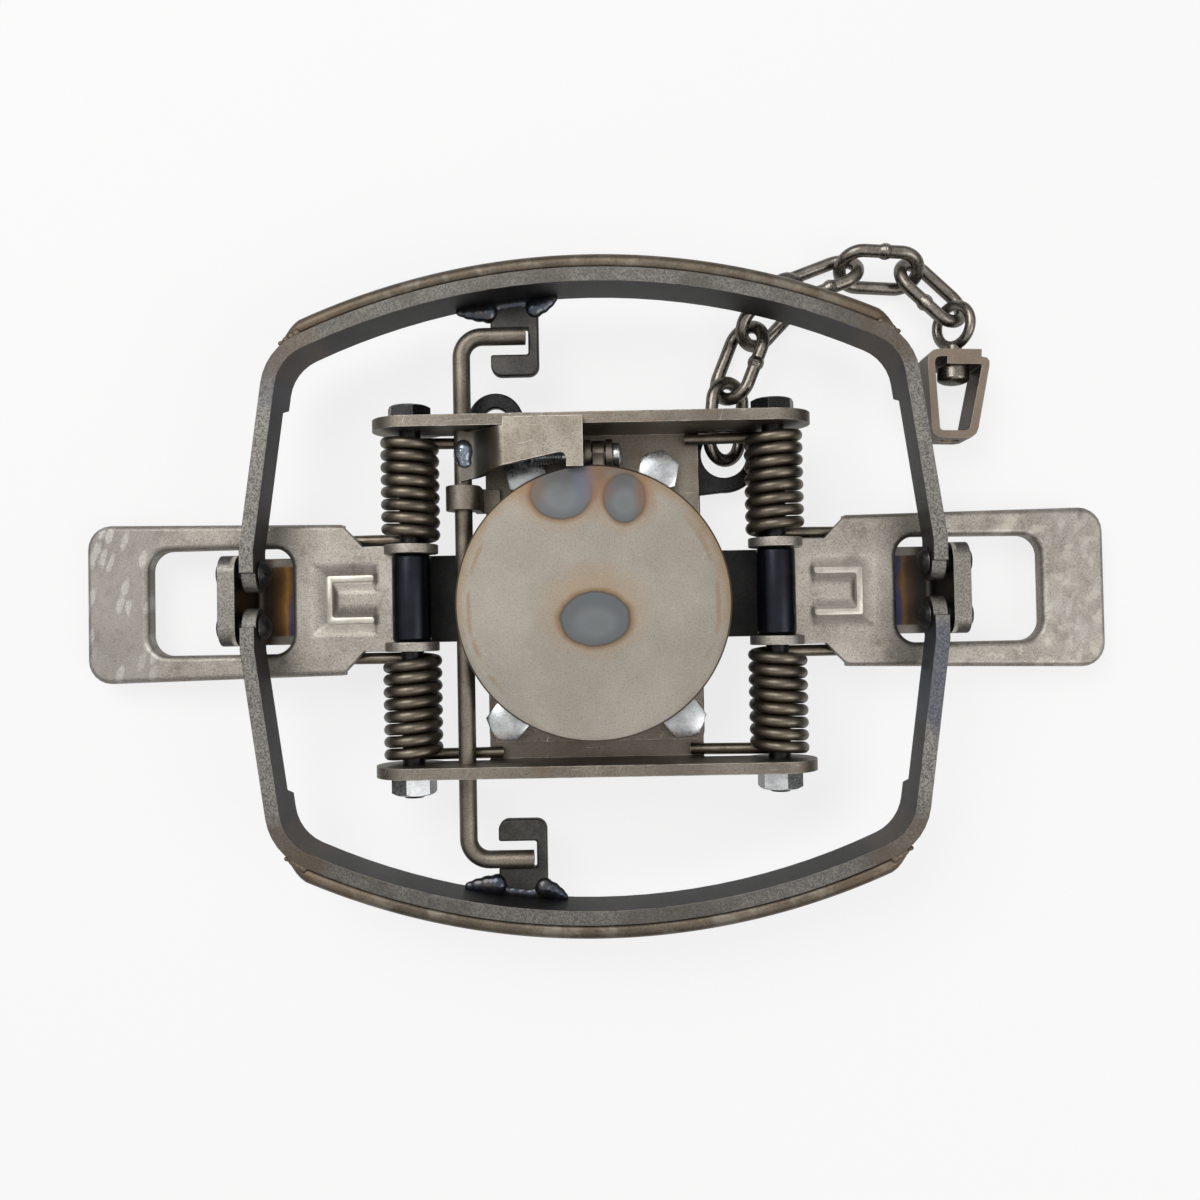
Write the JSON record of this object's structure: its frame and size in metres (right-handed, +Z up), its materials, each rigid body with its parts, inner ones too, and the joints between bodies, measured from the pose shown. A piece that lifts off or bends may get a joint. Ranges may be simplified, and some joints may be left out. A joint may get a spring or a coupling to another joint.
{
  "type": "leghold trap",
  "caption": "Set steel leghold trap with two hinged jaws, coil-sprung levers, a round pan, a rod trigger and a swivel chain; the jaws close over the pan.",
  "frame": {"origin": "middle of the base's underside", "axes": "+X along the frame strip towards the chain's side, +Y from the front jaw to the rear jaw, +Z up"},
  "size_m": [0.2988, 0.1967, 0.034],
  "materials": {
    "jaw_steel": "dark mill scale, scuffed edges",
    "jaw_rod_steel": "brown oxide with bare streaks",
    "weld_metal": "blue-grey weld bead",
    "black_steel": "glossy black oxide",
    "pin_steel": "dark hammered rivet",
    "plate_steel": "bare rolled steel",
    "zinc_plate": "bright zinc plate",
    "rod_steel": "bare drawn rod",
    "lever_steel": "pressed steel, hammered and worn",
    "spring_steel": "bare spring wire",
    "pan_steel": "bare steel with weld heat tints",
    "chain_steel": "bare welded wire",
    "box_steel": "brown heat-tinted strap"
  },
  "bodies": {
    "base": {"frame_strip": "black_steel", "cross_plate": "plate_steel", "lower_plate": "plate_steel", "clamp_bar": "plate_steel", "base_bolts": "zinc_plate", "spring_bolt_left": "black_steel", "spring_bolt_right": "black_steel", "spring_nuts": "zinc_plate", "spacer_tube_left": "black_steel", "spacer_tube_right": "black_steel", "rod_loop": "plate_steel", "pan_bracket": "plate_steel", "pan_hinge_bolt": "zinc_plate", "jaw_pins_left": "pin_steel", "jaw_pins_right": "pin_steel", "spring_rear_left": "spring_steel", "spring_rear_right": "spring_steel", "spring_front_left": "spring_steel", "spring_front_right": "spring_steel"},
    "rear_jaw_body": {"rear_jaw": "jaw_steel", "rear_jaw_rod": "jaw_rod_steel", "rear_tab": "jaw_steel", "rear_tab_weld": "weld_metal"},
    "front_jaw_body": {"front_jaw": "jaw_steel", "front_jaw_rod": "jaw_rod_steel", "front_tab": "jaw_steel", "front_tab_weld": "weld_metal"},
    "left_lever_body": {"left_lever": "lever_steel"},
    "right_lever_body": {"right_lever": "lever_steel"},
    "trigger": {"trigger_rod": "rod_steel", "trigger_plate": "plate_steel", "trigger_weld": "weld_metal"},
    "pan_body": {"pan": "pan_steel", "pan_arm": "pan_steel"},
    "swivel_left": {"swivel_plate_left": "black_steel"},
    "swivel_right": {"swivel_plate_right": "black_steel"},
    "link_1": {"chain_link_1": "chain_steel"},
    "link_2": {"chain_link_2": "chain_steel"},
    "link_3": {"chain_link_3": "chain_steel"},
    "link_4": {"chain_link_4": "chain_steel"},
    "link_5": {"chain_link_5": "chain_steel"},
    "link_6": {"chain_link_6": "chain_steel"},
    "end_eye": {"swivel_eye": "chain_steel"},
    "end_box": {"swivel_box": "box_steel"}
  },
  "joints": [
    {"name": "rear_jaw_close", "type": "hinge", "parent": "base", "child": "rear_jaw_body", "pos_m": [0, 0.0075, 0.0225], "axis": [1, 0, 0], "range_deg": [0, 88]},
    {"name": "front_jaw_close", "type": "hinge", "parent": "base", "child": "front_jaw_body", "pos_m": [0, -0.0075, 0.0225], "axis": [-1, 0, 0], "range_deg": [0, 88]},
    {"name": "left_lever_rise", "type": "hinge", "parent": "base", "child": "left_lever_body", "pos_m": [-0.0514, 0, 0.021], "axis": [0, 1, 0], "range_deg": [0, 24], "deforming": ["spring_rear_left", "spring_front_left"]},
    {"name": "right_lever_rise", "type": "hinge", "parent": "base", "child": "right_lever_body", "pos_m": [0.0514, 0, 0.021], "axis": [0, -1, 0], "range_deg": [0, 24], "deforming": ["spring_rear_right", "spring_front_right"]},
    {"name": "trigger_turn", "type": "hinge", "parent": "base", "child": "trigger", "pos_m": [-0.0365, 0, 0.02], "axis": [0, -1, 0], "range_deg": [0, 90]},
    {"name": "pan_press", "type": "hinge", "parent": "base", "child": "pan_body", "pos_m": [0, 0.0396, 0.019], "axis": [1, 0, 0], "range_deg": [0, 5]},
    {"name": "swivel_left_turn", "type": "hinge", "parent": "base", "child": "swivel_left", "pos_m": [-0.0191, 0.0355, 0.005], "axis": [0, 0, 1], "range_deg": [-8, 8]},
    {"name": "swivel_right_turn", "type": "hinge", "parent": "base", "child": "swivel_right", "pos_m": [0.0191, 0.0355, 0.005], "axis": [0, 0, 1], "range_deg": [-2, 2]},
    {"name": "link_1_swing", "type": "hinge", "parent": "swivel_right", "child": "link_1", "pos_m": [0.039, 0.042, 0.006], "axis": [0, 0, 1], "range_deg": [-2, 2]},
    {"name": "link_2_swing", "type": "hinge", "parent": "link_1", "child": "link_2", "pos_m": [0.04088, 0.0599, 0.006], "axis": [0, 0, 1], "range_deg": [-2, 6]},
    {"name": "link_3_swing", "type": "hinge", "parent": "link_2", "child": "link_3", "pos_m": [0.04762, 0.07659, 0.006], "axis": [0, 0, 1], "range_deg": [-2, 8]},
    {"name": "link_4_swing", "type": "hinge", "parent": "link_3", "child": "link_4", "pos_m": [0.06013, 0.08954, 0.006], "axis": [0, 0, 1], "range_deg": [-2, 8]},
    {"name": "link_5_swing", "type": "hinge", "parent": "link_4", "child": "link_5", "pos_m": [0.07704, 0.0957, 0.006], "axis": [0, 0, 1], "range_deg": [-2, 8]},
    {"name": "link_6_swing", "type": "hinge", "parent": "link_5", "child": "link_6", "pos_m": [0.095, 0.09444, 0.006], "axis": [0, 0, 1], "range_deg": [-2, 8]},
    {"name": "end_eye_swing", "type": "hinge", "parent": "link_6", "child": "end_eye", "pos_m": [0.10795, 0.08194, 0.0063], "axis": [0, 0, 1], "range_deg": [-2, 8]},
    {"name": "end_box_spin", "type": "hinge", "parent": "end_eye", "child": "end_box", "pos_m": [0.10781, 0.07804, 0.0063], "axis": [-0.0349, -0.9994, 0], "continuous": true}
  ],
  "couplings": [
    {"joint": "front_jaw_close", "follows": "rear_jaw_close", "ratio": 1},
    {"joint": "left_lever_rise", "follows": "rear_jaw_close", "ratio": 0.27},
    {"joint": "right_lever_rise", "follows": "rear_jaw_close", "ratio": 0.27},
    {"joint": "trigger_turn", "follows": "rear_jaw_close", "ratio": 1}
  ]
}
